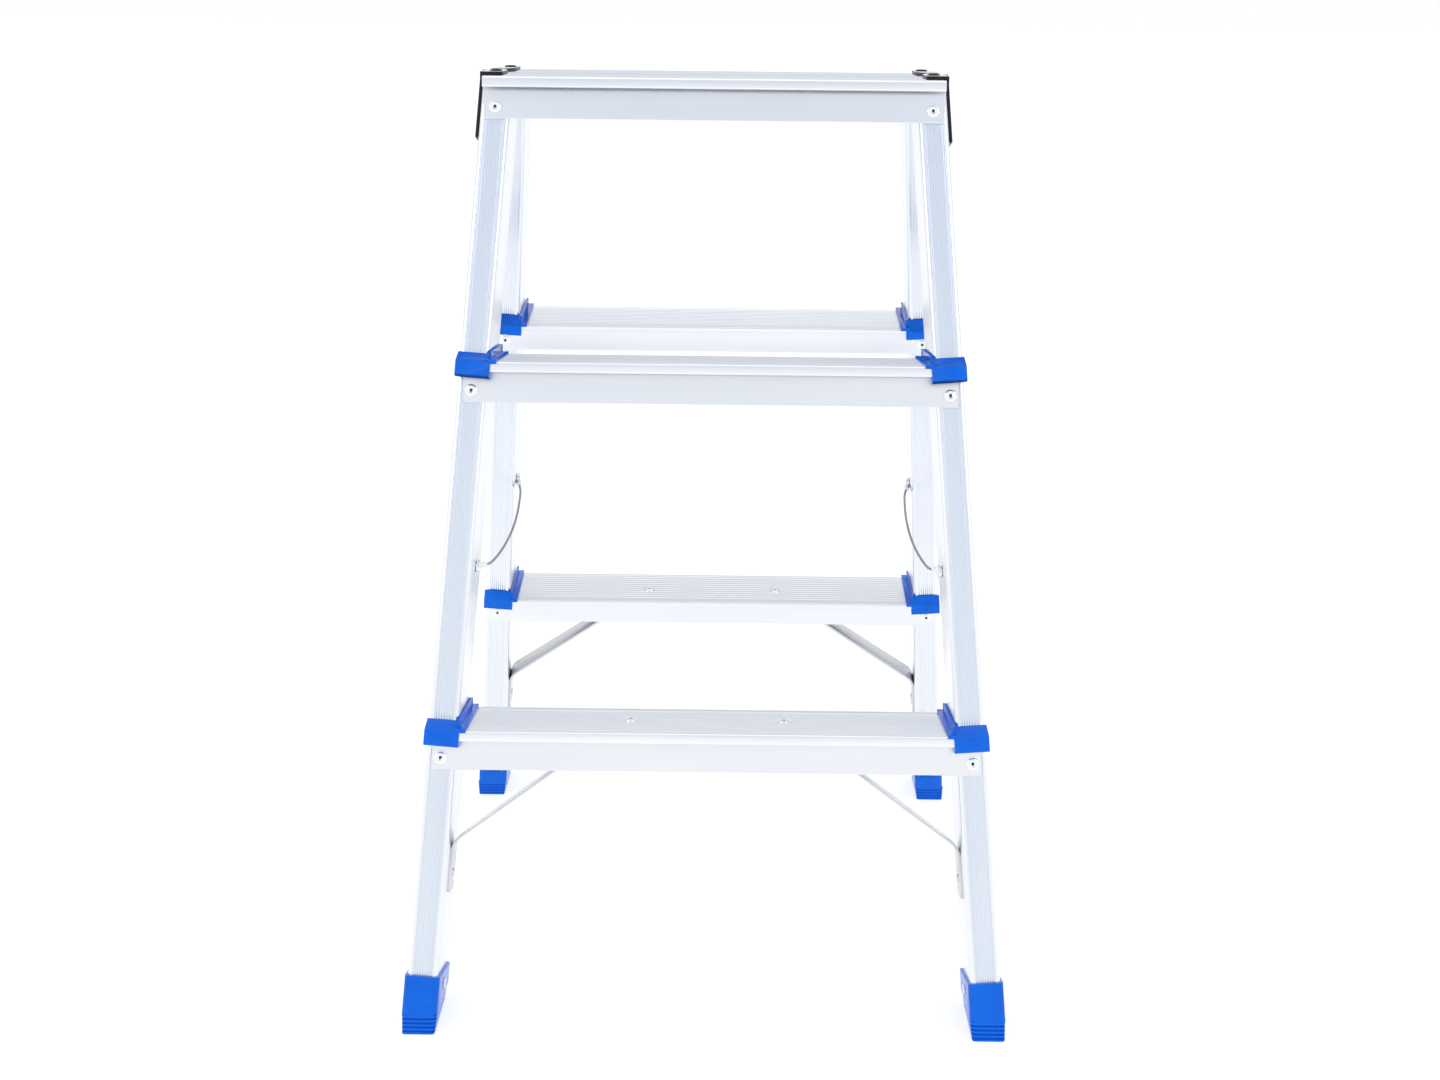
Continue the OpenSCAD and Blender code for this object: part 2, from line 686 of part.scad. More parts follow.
// ---- Rear frame ----
at_rear() stile(-1);  // rear_left_stile
at_rear() stile(1);  // rear_right_stile
at_rear() top_step();  // rear_top_step
at_rear() tread(middle_height, middle_inset);  // rear_middle_tread
at_rear() tread(bottom_height, bottom_inset);  // rear_bottom_tread
at_rear() cap(middle_height, -1);  // rear_middle_left_cap
at_rear() cap(middle_height, 1);  // rear_middle_right_cap
at_rear() cap(bottom_height, -1);  // rear_bottom_left_cap
at_rear() cap(bottom_height, 1);  // rear_bottom_right_cap
mirror([0, 1, 0]) foot(-1);  // rear_left_foot
mirror([0, 1, 0]) foot(1);  // rear_right_foot
at_rear() stay(-1);  // rear_left_stay
at_rear() stay(1);  // rear_right_stay
mirror([0, 1, 0]) leaf(-1, false);  // rear_left_hinge_leaf
mirror([0, 1, 0]) leaf(1, false);  // rear_right_hinge_leaf
at_rear() tread_rivets();  // rear_tread_rivets
at_rear() stay_rivets();  // rear_stay_rivets
at_rear() hinge_rivets();  // rear_hinge_rivets
at_rear() foot_rivets();  // rear_foot_rivets
at_rear() wire_rivets();  // rear_wire_rivets
mirror([0, 1, 0]) ferrules(flip(rope_end), flip(rope_before_end));  // rear_wire_ferrules

// ---- Between the frames ----
hinge_pin(-1);  // left_hinge_pin
hinge_pin(1);  // right_hinge_pin
wire_rope(-1);  // left_wire_rope
wire_rope(1);  // right_wire_rope
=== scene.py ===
"""Two-way folding step ladder: extruded aluminium frames, blue plastic caps and feet, wire rope stays."""
import json
import math

import bmesh
import bpy
from mathutils import Matrix, Vector


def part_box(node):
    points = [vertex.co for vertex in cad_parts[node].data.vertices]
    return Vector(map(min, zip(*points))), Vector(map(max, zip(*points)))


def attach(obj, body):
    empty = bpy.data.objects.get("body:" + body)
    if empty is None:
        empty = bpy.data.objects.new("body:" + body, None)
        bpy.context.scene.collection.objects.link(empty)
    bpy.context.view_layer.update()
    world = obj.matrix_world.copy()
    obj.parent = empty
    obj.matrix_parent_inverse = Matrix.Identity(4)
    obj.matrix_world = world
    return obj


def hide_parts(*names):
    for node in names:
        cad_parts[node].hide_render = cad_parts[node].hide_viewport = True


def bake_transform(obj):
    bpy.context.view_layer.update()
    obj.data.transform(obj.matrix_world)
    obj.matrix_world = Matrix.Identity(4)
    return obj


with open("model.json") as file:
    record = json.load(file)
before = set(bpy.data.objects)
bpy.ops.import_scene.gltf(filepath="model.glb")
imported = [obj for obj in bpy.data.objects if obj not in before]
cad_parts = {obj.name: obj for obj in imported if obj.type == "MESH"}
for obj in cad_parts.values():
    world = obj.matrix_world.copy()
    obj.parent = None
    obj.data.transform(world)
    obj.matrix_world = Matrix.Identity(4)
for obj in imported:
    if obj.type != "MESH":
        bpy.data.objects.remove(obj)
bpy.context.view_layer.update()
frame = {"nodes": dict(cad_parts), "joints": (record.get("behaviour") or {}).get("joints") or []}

# ---------------------------------------------------------------- sizes, in millimetres and degrees

FOLD = next(j for j in frame["joints"] if j["name"] == "fold")
LEAN = math.radians(-FOLD["range_deg"][0] / 2)
PIVOT_Z = FOLD["pos_m"][2] * 1000
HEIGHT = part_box("front_top_step")[1][2] * 1000
MIDDLE_STEP, BOTTOM_STEP = 460.0, 210.0

TOP_WIDTH, FOOT_WIDTH = 325.0, 423.0
STILE_W, STILE_D = 21.0, 52.0
FOLD_GAP = 24.0
STILE_OUT = FOLD_GAP + STILE_D
STILE_MID = FOLD_GAP + STILE_D / 2
NOSE_OUT = STILE_OUT + 10.0
INNER_OUT = FOLD_GAP - 5.0
STILE_TOP = (HEIGHT - PIVOT_Z - STILE_MID * math.sin(LEAN)) / math.cos(LEAN)
SPLAY = math.atan((FOOT_WIDTH - TOP_WIDTH) / 2 / (HEIGHT / math.cos(LEAN)))

TREAD_TILT = math.radians(5)
PLATE_T, APRON_T = 2.2, 1.6
APRON_DROP, INNER_APRON_DROP = 28.0, 23.0
LIP_H, INNER_LIP_H = 7.4, 4.4
STEP_GAP = 0.4
MIDDLE_INSET, BOTTOM_INSET = 3.5, 3.0
RIB_H, RIB_W, RIB_PITCH, RIB_START = 0.35, 1.35, 4.8, 8.0

RIVET_HEAD, RIVET_DROP, INNER_RIVET_DROP = 10.0, 19.5, 14.5
RIVET_HOLE, RIVET_DOME, RIVET_FLANGE = 0.8, 0.75, 1.6
LEAF_T = 2.4
STRAP_TOP, STRAP_RIVETS = 9.0, (12.0, 33.0)
FLANGE_RIVET_IN, FLANGE_RIVET_OUT = 6.0, 48.0
FOOT_RIVET_Z, FOOT_WALL = 24.0, 2.0
STAY_RIVET_X, STAY_DROP, STAY_END, STAY_W, STAY_T = 55.0, 85.0, 36.0, 20.0, 2.0
WIRE_D, WIRE_HEIGHT = 2.0, 313.0
STRAND_R, LAY_R, LAY_LENGTH = 0.34, 0.64, 12.0
STILE_ROUND, CHANNEL_HALF, CHANNEL_DEPTH, CHANNEL_RIBS = 2.8, 7.0, 0.5, 7
STILE_BASE = 6.0  # level of the stiles' lower cut, inside the feet
WIRE_ROUTE = [
    (163, -122, 309), (160.5, -105, 305.5), (158.3, -75, 303.5), (156.5, -40, 303), (155.8, 0, 303.5),
    (156.5, 40, 305), (158.3, 75, 306.5), (160.5, 105, 308), (163, 122, 309)]

CAMERA_PLACE = (0.0134, -1.5057, 0.7027)
CAMERA_TURN = (0.24, -15.1, -0.61)  # yaw, pitch and roll in degrees
CAMERA_LENS, CAMERA_SENSOR = 49.6, 36.0
FLOOR_HALF, FLOOR_TONE, FLOOR_GLOW = 80.0, 0.42, 0.7
BUMP_DEPTH = 0.0002

SIDES = {"left": -1, "right": 1}
ENDS = {"front": 1, "rear": -1}

# ---------------------------------------------------------------- frames of reference


def ladder_frame(end):
    """Local frame in millimetres: +Z up the stiles, -Y outwards, origin on the hinge axis."""
    mirror = Matrix.Diagonal((1, ENDS[end], 1, 1))
    lean = Matrix.Translation((0, 0, PIVOT_Z)) @ Matrix.Rotation(-LEAN, 4, "X")
    return Matrix.Scale(0.001, 4) @ mirror @ lean


def half_width(z):
    """Distance of the stiles' outer sides from the middle, at a local height."""
    return TOP_WIDTH / 2 + (STILE_TOP - z) * math.tan(SPLAY)


def stile_axes(side, z=None):
    """+Z up the stile, X = 0 on its outer side; drawn for the right and mirrored for the left."""
    mirror = Matrix.Diagonal((SIDES[side], 1, 1, 1))
    z = STILE_TOP if z is None else z
    return mirror @ Matrix.Translation((half_width(z), 0, z)) @ Matrix.Rotation(-SPLAY, 4, "Y")


def nose_z(height):
    return (height - PIVOT_Z - NOSE_OUT * math.sin(LEAN)) / math.cos(LEAN)


def surface_z(height, tilt, out):
    return nose_z(height) + (NOSE_OUT - out) * math.tan(LEAN - tilt)


def tread_axes(height, tilt):
    """Origin on the nose edge, +Y inwards along the surface, +Z out of it."""
    return Matrix.Translation((0, -NOSE_OUT, nose_z(height))) @ Matrix.Rotation(LEAN - tilt, 4, "X")


# ---------------------------------------------------------------- camera, light and floor


def make_camera():
    """Camera a little above the top step, looking down at the front frame."""
    data = bpy.data.cameras.new("camera")
    data.lens, data.sensor_width = CAMERA_LENS, CAMERA_SENSOR
    camera = bpy.data.objects.new("camera", data)
    bpy.context.scene.collection.objects.link(camera)
    yaw, pitch, roll = map(math.radians, CAMERA_TURN)
    turn = Matrix.Rotation(yaw, 4, "Z") @ Matrix.Rotation(pitch, 4, "X") @ Matrix.Rotation(roll, 4, "Y")
    camera.matrix_world = (Matrix.Translation(CAMERA_PLACE) @ turn
                           @ Matrix.Rotation(math.radians(90), 4, "X"))
    bpy.context.scene.camera = camera


def area_light(name, place, target, size, power):
    data = bpy.data.lights.new(name, "AREA")
    data.shape, data.size, data.energy = "SQUARE", size, power
    light = bpy.data.objects.new(name, data)
    bpy.context.scene.collection.objects.link(light)
    light.location = place
    light.rotation_euler = (Vector(target) - Vector(place)).to_track_quat("-Z", "Y").to_euler()


def make_studio():
    """Graded pale world, three soft boxes and a bright pale floor."""
    scene = bpy.context.scene
    scene.view_settings.view_transform = "Standard"
    world = bpy.data.worlds.new("studio")
    scene.world = world
    world.use_nodes = True
    nodes, links = world.node_tree.nodes, world.node_tree.links
    coords = nodes.new("ShaderNodeTexCoord")
    split = nodes.new("ShaderNodeSeparateXYZ")
    depth = nodes.new("ShaderNodeMapRange")
    depth.inputs["From Min"].default_value = -1.0
    walls = nodes.new("ShaderNodeValToRGB")
    walls.color_ramp.elements[0].color = (0.70, 0.76, 0.85, 1)
    walls.color_ramp.elements[1].color = (0.66, 0.69, 0.75, 1)
    rise = nodes.new("ShaderNodeValToRGB")
    for element, (place, shade) in zip(rise.color_ramp.elements, ((0.22, 1.0), (0.42, 0.0))):
        element.position, element.color = place, (shade, shade, shade, 1)
    for place, shade in ((0.6, 0.0), (0.95, 1.0)):
        rise.color_ramp.elements.new(place).color = (shade, shade, shade, 1)
    mix = nodes.new("ShaderNodeMix")
    mix.data_type = "RGBA"
    mix.inputs["B"].default_value = (1, 1, 1, 1)
    links.new(coords.outputs["Generated"], split.inputs[0])
    links.new(split.outputs["Y"], depth.inputs["Value"])
    links.new(split.outputs["Z"], rise.inputs["Fac"])
    links.new(depth.outputs["Result"], walls.inputs["Fac"])
    links.new(rise.outputs["Color"], mix.inputs["Factor"])
    links.new(walls.outputs["Color"], mix.inputs["A"])
    links.new(mix.outputs["Result"], nodes["Background"].inputs["Color"])
    area_light("left_soft_box", (-1.6, -1.6, 1.5), (0, 0, 0.35), 1.1, 11)
    area_light("right_soft_box", (1.6, -1.6, 1.5), (0, 0, 0.35), 1.1, 11)
    area_light("top_soft_box", (0, 0.3, 2.6), (0, 0, 0.3), 1.4, 4)

    mesh = bpy.data.meshes.new("floor")
    corners = [(x * FLOOR_HALF, y * FLOOR_HALF, 0) for x, y in ((-1, -1), (1, -1), (1, 1), (-1, 1))]
    mesh.from_pydata(corners, [], [(0, 1, 2, 3)])
    floor = bpy.data.objects.new("floor", mesh)
    scene.collection.objects.link(floor)
    material = bpy.data.materials.new("pale_floor")
    material.use_nodes = True
    shader = material.node_tree.nodes["Principled BSDF"]
    shader.inputs["Base Color"].default_value = (FLOOR_TONE, FLOOR_TONE, FLOOR_TONE, 1)
    shader.inputs["Roughness"].default_value = 0.9
    shader.inputs["Emission Color"].default_value = (1, 1, 1, 1)
    shader.inputs["Emission Strength"].default_value = FLOOR_GLOW
    mesh.materials.append(material)


# ---------------------------------------------------------------- materials


class Finish:
    """A material under construction, with short ways to add nodes."""

    def __init__(self, name):
        self.material = bpy.data.materials.new(name)
        self.material.use_nodes = True
        self.tree = self.material.node_tree
        self.shader = self.tree.nodes["Principled BSDF"]

    def node(self, kind, **values):
        made = self.tree.nodes.new("ShaderNode" + kind)
        for key, value in values.items():
            made.inputs[key.replace("_", " ")].default_value = value
        return made

    def link(self, source, target):
        self.tree.links.new(source, target)

    def grain_coords(self, scale):
        """The piece's own axes, stretched along the direction in which the metal was drawn."""
        attribute = self.tree.nodes.new("ShaderNodeAttribute")
        attribute.attribute_name = "grain"
        mapping = self.node("Mapping", Scale=scale)
        self.link(attribute.outputs["Vector"], mapping.inputs["Vector"])
        return mapping.outputs["Vector"]

    def object_coords(self):
        return self.tree.nodes.new("ShaderNodeTexCoord").outputs["Object"]

    def noise(self, coords, scale, detail=4.0, rough=0.6):
        made = self.node("TexNoise", Scale=scale, Detail=detail, Roughness=rough)
        self.link(coords, made.inputs["Vector"])
        return made.outputs["Fac"]

    def ramp(self, factor, low, high, start=0.3, end=0.7):
        made = self.tree.nodes.new("ShaderNodeValToRGB")
        made.color_ramp.elements[0].position, made.color_ramp.elements[1].position = start, end
        made.color_ramp.elements[0].color, made.color_ramp.elements[1].color = (*low, 1), (*high, 1)
        self.link(factor, made.inputs["Fac"])
        return made.outputs["Color"]

    def range(self, factor, low, high):
        made = self.tree.nodes.new("ShaderNodeMapRange")
        made.inputs["To Min"].default_value, made.inputs["To Max"].default_value = low, high
        self.link(factor, made.inputs["Value"])
        return made.outputs["Result"]

    def bump(self, height, strength, distance):
        made = self.node("Bump", Strength=strength, Distance=distance)
        self.link(height, made.inputs["Height"])
        self.link(made.outputs["Normal"], self.shader.inputs["Normal"])


def drawn_aluminium(name, along, dark, light, rough):
    """Extruded aluminium with faint die lines along one of the piece's axes and soft clouding."""
    finish = Finish(name)
    stretch = [1.0, 1.0, 1.0]
    stretch[along] = 0.001
    lines = finish.noise(finish.grain_coords(stretch), 600, 2)
    stretch[along] = 0.12
    clouds = finish.noise(finish.grain_coords(stretch), 30, 2)
    finish.link(finish.ramp(clouds, dark, light, 0.2, 0.8), finish.shader.inputs["Base Color"])
    finish.link(finish.range(lines, rough - 0.03, rough + 0.04), finish.shader.inputs["Roughness"])
    finish.shader.inputs["Metallic"].default_value = 1.0
    finish.bump(lines, 0.012, BUMP_DEPTH)
    return finish.material


def moulded_plastic():
    """Glossy royal blue plastic with a fine mould texture."""
    finish = Finish("blue_moulded_plastic")
    skin = finish.noise(finish.object_coords(), 900, 3)
    tone = finish.noise(finish.object_coords(), 45, 2)
    colour = finish.ramp(tone, (0.0005, 0.105, 0.60), (0.001, 0.128, 0.68))
    finish.link(colour, finish.shader.inputs["Base Color"])
    finish.link(finish.range(skin, 0.13, 0.2), finish.shader.inputs["Roughness"])
    finish.shader.inputs["Specular IOR Level"].default_value = 0.18
    finish.bump(skin, 0.06, BUMP_DEPTH)
    return finish.material


def flecked_metal(name, scale, detail, dark, light, rough, metallic=1.0, strength=0.0,
                  spread=(0.3, 0.7), grit=0.6):
    """Metal with fine marks; rough is the range of its roughness and strength that of its bump."""
    finish = Finish(name)
    marks = finish.noise(finish.object_coords(), scale, detail, grit)
    finish.link(finish.ramp(marks, dark, light, *spread), finish.shader.inputs["Base Color"])
    finish.link(finish.range(marks, *rough), finish.shader.inputs["Roughness"])
    finish.shader.inputs["Metallic"].default_value = metallic
    if strength:
        finish.bump(marks, strength, BUMP_DEPTH)
    return finish.material


# ---------------------------------------------------------------- making pieces


def set_grain(mesh, to_local):
    """Stores each corner's place in the ladder frame's own axes, for textures that follow the metal."""
    grain = mesh.attributes.get("grain") or mesh.attributes.new("grain", "FLOAT_VECTOR", "POINT")
    for vertex, value in zip(mesh.vertices, grain.data):
        value.vector = (to_local @ vertex.co) * 0.001


def smooth_by_angle(mesh, degrees=32):
    mesh.shade_smooth()
    mesh.set_sharp_from_angle(angle=math.radians(degrees))


def finish_piece(name, mesh, material, end, nodes, axes=Matrix()):
    """Links a finished mesh as a piece of the front or rear frame, standing for its CAD nodes."""
    if not mesh.materials:
        mesh.materials.append(material)
    piece = bpy.data.objects.new(name, mesh)
    bpy.context.scene.collection.objects.link(piece)
    set_grain(mesh, (ladder_frame(end) @ axes).inverted())
    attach(piece, end + "_frame")
    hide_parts(*nodes)
    return piece


def mesh_from(bm, name, matrix):
    """Places a piece drawn in a local frame and turns its faces outwards."""
    bm.transform(matrix)
    bmesh.ops.recalc_face_normals(bm, faces=bm.faces[:])
    mesh = bpy.data.meshes.new(name)
    bm.to_mesh(mesh)
    bm.free()
    return mesh


def evaluated_mesh(obj, name):
    """Result of an object's modifiers as a plain mesh; the object itself is removed."""
    graph = bpy.context.evaluated_depsgraph_get()
    mesh = bpy.data.meshes.new_from_object(obj.evaluated_get(graph))
    mesh.name = name
    bpy.data.objects.remove(obj)
    return mesh


def scratch_object(name, mesh):
    obj = bpy.data.objects.new(name, mesh)
    bpy.context.scene.collection.objects.link(obj)
    return obj


def arc(centre, radius, start, stop, steps):
    """Points on an arc, angles in degrees."""
    turn = [math.radians(start + (stop - start) * i / steps) for i in range(steps + 1)]
    return [(centre[0] + radius * math.cos(a), centre[1] + radius * math.sin(a)) for a in turn]


def rounded_edges(mesh, name, width, segments=3, angle=30):
    """Bevels a mesh's sharp edges and shades it."""
    obj = scratch_object(name, mesh)
    bevel = obj.modifiers.new("edges", "BEVEL")
    bevel.width, bevel.segments = width * 0.001, segments
    bevel.limit_method, bevel.angle_limit = "ANGLE", math.radians(angle)
    result = evaluated_mesh(obj, name)
    smooth_by_angle(result, 35)
    return result


def joined_copy(node):
    """A node's shape with its loose triangles joined and its flat faces made whole."""
    bm = bmesh.new()
    bm.from_mesh(frame["nodes"][node].data)
    bmesh.ops.remove_doubles(bm, verts=bm.verts[:], dist=0.00001)
    bmesh.ops.dissolve_limit(bm, angle_limit=math.radians(1), verts=bm.verts[:], edges=bm.edges[:])
    mesh = bpy.data.meshes.new(node)
    bm.to_mesh(mesh)
    bm.free()
    return mesh


def dressed(node, end, material, width, segments=3):
    """A pressed or moulded part: the CAD shape with softened edges."""
    mesh = rounded_edges(joined_copy(node), node + "_shape", width, segments)
    mesh.materials.clear()
    return finish_piece(node + "_piece", mesh, material, end, [node])


# ---------------------------------------------------------------- geometry node trees


class Tree:
    """A geometry node tree with named inputs."""

    def __init__(self, name, **inputs):
        self.group = bpy.data.node_groups.new(name, "GeometryNodeTree")
        face = self.group.interface
        face.new_socket("Geometry", in_out="INPUT", socket_type="NodeSocketGeometry")
        for key, kind in inputs.items():
            face.new_socket(key.replace("_", " "), in_out="INPUT", socket_type="NodeSocket" + kind)
        face.new_socket("Geometry", in_out="OUTPUT", socket_type="NodeSocketGeometry")
        self.inputs = self.group.nodes.new("NodeGroupInput").outputs
        self.output = self.group.nodes.new("NodeGroupOutput").inputs[0]

    def node(self, kind, **links):
        made = self.group.nodes.new(kind)
        for key, value in links.items():
            socket = made.inputs[key.replace("_", " ")]
            if isinstance(value, bpy.types.NodeSocket):
                self.group.links.new(value, socket)
            else:
                socket.default_value = value
        return made

    def calc(self, operation, *values):
        """Result of a math node on sockets or plain numbers."""
        made = self.group.nodes.new("ShaderNodeMath")
        made.operation = operation
        for socket, value in zip(made.inputs, values):
            if isinstance(value, bpy.types.NodeSocket):
                self.group.links.new(value, socket)
            else:
                socket.default_value = value
        return made.outputs[0]

    def join(self, *parts):
        made = self.group.nodes.new("GeometryNodeJoinGeometry")
        for part in parts:
            self.group.links.new(part, made.inputs[0])
        return made.outputs[0]

    def paint(self, geometry, material):
        made = self.node("GeometryNodeSetMaterial", Geometry=geometry)
        self.group.links.new(material, made.inputs["Material"])
        return made.outputs[0]

    def finish(self, geometry):
        real = self.node("GeometryNodeRealizeInstances", Geometry=geometry)
        self.group.links.new(self.paint(real.outputs[0], self.inputs["Material"]), self.output)
        return self.group


def run_tree(group, mesh, name, **values):
    """Runs a tree on a mesh with its inputs set, and returns the plain mesh."""
    obj = scratch_object(name, mesh)
    modifier = obj.modifiers.new("tree", "NODES")
    modifier.node_group = group
    for item in group.interface.items_tree:
        key = item.name.replace(" ", "_")
        if item.in_out == "INPUT" and key in values:
            modifier[item.identifier] = values[key]
    return evaluated_mesh(obj, name)


def extrusion_tree():
    """Draws a flat closed section out along X to both sides of the middle."""
    tree = Tree("extrusion", Width="Float", Material="Material")
    back = tree.node("ShaderNodeCombineXYZ", X=tree.calc("MULTIPLY", tree.inputs["Width"], -0.5))
    far = tree.node("ShaderNodeCombineXYZ", X=tree.inputs["Width"])
    start = tree.node("GeometryNodeSetPosition", Geometry=tree.inputs["Geometry"], Offset=back.outputs[0])
    swept = tree.node("GeometryNodeExtrudeMesh", Mesh=start.outputs[0], Offset=far.outputs[0],
                      Offset_Scale=1.0, Individual=False)
    shut = tree.node("GeometryNodeFlipFaces", Mesh=start.outputs[0])
    both = tree.join(swept.outputs["Mesh"], shut.outputs[0])
    merged = tree.node("GeometryNodeMergeByDistance", Geometry=both, Distance=0.001)
    return tree.finish(merged.outputs[0])


def grip_rib_tree():
    """Repeats a low rounded rib along X, one pitch apart in Y."""
    tree = Tree("grip_ribs", Count="Int", Pitch="Float", Length="Float", Rib_Width="Float",
                Rib_Height="Float", Material="Material")
    step = tree.node("ShaderNodeCombineXYZ", Y=tree.inputs["Pitch"])
    row = tree.node("GeometryNodeMeshLine", Count=tree.inputs["Count"], Offset=step.outputs[0])
    bar = tree.node("GeometryNodeMeshCylinder", Vertices=12, Radius=1.0, Depth=1.0)
    upright = tree.node("GeometryNodeTransform", Geometry=bar.outputs["Mesh"], Rotation=(0, math.pi / 2, 0))
    size = tree.node("ShaderNodeCombineXYZ", X=tree.inputs["Length"], Y=tree.inputs["Rib Width"],
                     Z=tree.inputs["Rib Height"])
    rib = tree.node("GeometryNodeTransform", Geometry=upright.outputs[0], Scale=size.outputs[0])
    ribs = tree.node("GeometryNodeInstanceOnPoints", Points=row.outputs[0], Instance=rib.outputs[0])
    return tree.finish(ribs.outputs[0])


def rivet_tree():
    """Sets a blind rivet head on every point, facing along the point's stored direction."""
    tree = Tree("blind_rivets", Head="Float", Hole="Float", Dome="Float", Flange="Float", Material="Material",
                Hole_Material="Material")
    radius = tree.calc("MULTIPLY", tree.inputs["Head"], 0.5)
    ring_sum = tree.calc("ADD", radius, tree.inputs["Hole"])
    ring_r = tree.calc("MULTIPLY", ring_sum, 0.46)
    ring_gap = tree.calc("SUBTRACT", ring_r, tree.inputs["Hole"])
    ring = tree.node("GeometryNodeCurvePrimitiveCircle", Resolution=36, Radius=ring_r)
    tube = tree.node("GeometryNodeCurvePrimitiveCircle", Resolution=16, Radius=ring_gap)
    dome = tree.node("GeometryNodeCurveToMesh", Curve=ring.outputs[0], Profile_Curve=tube.outputs[0])
    squash = tree.node("ShaderNodeCombineXYZ", X=1.0, Y=1.0, Z=tree.inputs["Dome"])
    low_dome = tree.node("GeometryNodeTransform", Geometry=dome.outputs[0], Scale=squash.outputs[0])
    smooth = tree.node("GeometryNodeSetShadeSmooth", Geometry=low_dome.outputs[0])
    rim = tree.node("GeometryNodeMeshCylinder", Vertices=36, Radius=radius, Depth=tree.inputs["Flange"])
    # A near-black stub fills each rivet's hole: painted shade.
    stub = tree.node("GeometryNodeMeshCylinder", Vertices=20, Radius=tree.inputs["Hole"],
                     Depth=tree.inputs["Head"])
    short_stub = tree.node("GeometryNodeTransform", Geometry=stub.outputs["Mesh"], Scale=(1.3, 1.3, 0.2))
    painted_shade_stub = tree.paint(short_stub.outputs[0], tree.inputs["Hole Material"])
    metal = tree.paint(tree.join(smooth.outputs[0], rim.outputs["Mesh"]), tree.inputs["Material"])
    head = tree.join(metal, painted_shade_stub)
    facing = tree.node("GeometryNodeInputNamedAttribute", Name="facing")
    facing.data_type = "FLOAT_VECTOR"
    turn = tree.node("FunctionNodeAlignRotationToVector", Vector=facing.outputs["Attribute"])
    turn.axis = "Z"
    heads = tree.node("GeometryNodeInstanceOnPoints", Points=tree.inputs["Geometry"], Instance=head,
                      Rotation=turn.outputs[0])
    real = tree.node("GeometryNodeRealizeInstances", Geometry=heads.outputs[0])
    tree.group.links.new(real.outputs[0], tree.output)
    return tree.group


def rope_tree():
    """Lays twisted strands along a path."""
    tree = Tree("laid_rope", Strands="Int", Strand_Radius="Float", Lay_Radius="Float", Lay_Length="Float",
                Material="Material")
    path = tree.node("GeometryNodeMeshToCurve", Mesh=tree.inputs["Geometry"])
    even = tree.node("GeometryNodeResampleCurve", Curve=path.outputs[0], Count=320)
    along = tree.node("GeometryNodeSplineParameter")
    turns = tree.calc("DIVIDE", along.outputs["Length"], tree.inputs["Lay Length"])
    angle = tree.calc("MULTIPLY", turns, 2 * math.pi)
    laid = tree.node("GeometryNodeSetCurveTilt", Curve=even.outputs[0], Tilt=angle)
    ring = tree.node("GeometryNodeMeshCircle", Vertices=tree.inputs["Strands"],
                     Radius=tree.inputs["Lay Radius"])
    strand = tree.node("GeometryNodeCurvePrimitiveCircle", Resolution=6,
                       Radius=tree.inputs["Strand Radius"])
    bundle = tree.node("GeometryNodeInstanceOnPoints", Points=ring.outputs[0], Instance=strand.outputs[0])
    profile = tree.node("GeometryNodeRealizeInstances", Geometry=bundle.outputs[0])
    rope = tree.node("GeometryNodeCurveToMesh", Curve=laid.outputs[0], Profile_Curve=profile.outputs[0],
                     Fill_Caps=True)
    return tree.finish(rope.outputs[0])


# ---------------------------------------------------------------- stiles


def stile_section():
    """Rounded box section with a shallow ribbed channel in its outer and inner faces."""
    w, d, r = STILE_W / 2, STILE_D / 2, STILE_ROUND
    channel, depth, slant, margin = CHANNEL_HALF, CHANNEL_DEPTH, 0.2, 0.6
    points = arc((-w + r, -d + r), r, 180, 270, 8)
    face = [(-channel, -d), (-channel + slant, -d + depth)]
    pitch = 2 * (channel - margin) / CHANNEL_RIBS
    for i in range(CHANNEL_RIBS):
        x = -channel + margin + i * pitch
        face += [(x + pitch * 0.3, -d + depth), (x + pitch * 0.5, -d + depth * 0.35),
                 (x + pitch * 0.7, -d + depth)]
    face += [(channel - slant, -d + depth), (channel, -d)]
    points += face
    points += arc((w - r, -d + r), r, 270, 360, 8)
    points += arc((w - r, d - r), r, 0, 90, 8)
    points += [(-x, -y) for x, y in face]
    points += arc((-w + r, d - r), r, 90, 180, 8)
    return points


def make_stile(end, side, material, channel_shade_material):
    """Extrusion between level cuts inside the foot and under the top step."""
    axes = stile_axes(side)
    placed = ladder_frame(end) @ axes
    section = [(x - STILE_W / 2, y - STILE_MID) for x, y in stile_section()]
    bm = bmesh.new()
    rings = []
    for level in (STILE_BASE, HEIGHT - PLATE_T - 0.3):
        ring = []
        for x, y in section:
            low, high = placed @ Vector((x, y, 0)), placed @ Vector((x, y, 1))
            z = (level * 0.001 - low.z) / (high.z - low.z)
            ring.append(bm.verts.new((x, y, z)))
        rings.append(ring)
    count = len(section)
    for i in range(count):
        j = (i + 1) % count
        bm.faces.new((rings[0][i], rings[0][j], rings[1][j], rings[1][i]))
    bm.faces.new(rings[0])
    bm.faces.new(rings[1])
    name = f"{end}_{side}_stile"
    mesh = mesh_from(bm, name + "_shape", placed)
    smooth_by_angle(mesh, 40)
    mesh.materials.append(material)
    mesh.materials.append(channel_shade_material)
    # Faces in the recessed channel take the darker aluminium: painted shade in the recess.
    back = placed.inverted()
    for face in mesh.polygons:
        middle = back @ face.center
        across, through = abs(middle.x + STILE_W / 2), -middle.y - STILE_MID
        face.material_index = int(across < CHANNEL_HALF and through > STILE_D / 2 - 2 * CHANNEL_DEPTH)
    return finish_piece(name + "_extrusion", mesh, material, end, [name], axes)


# ---------------------------------------------------------------- treads and top step


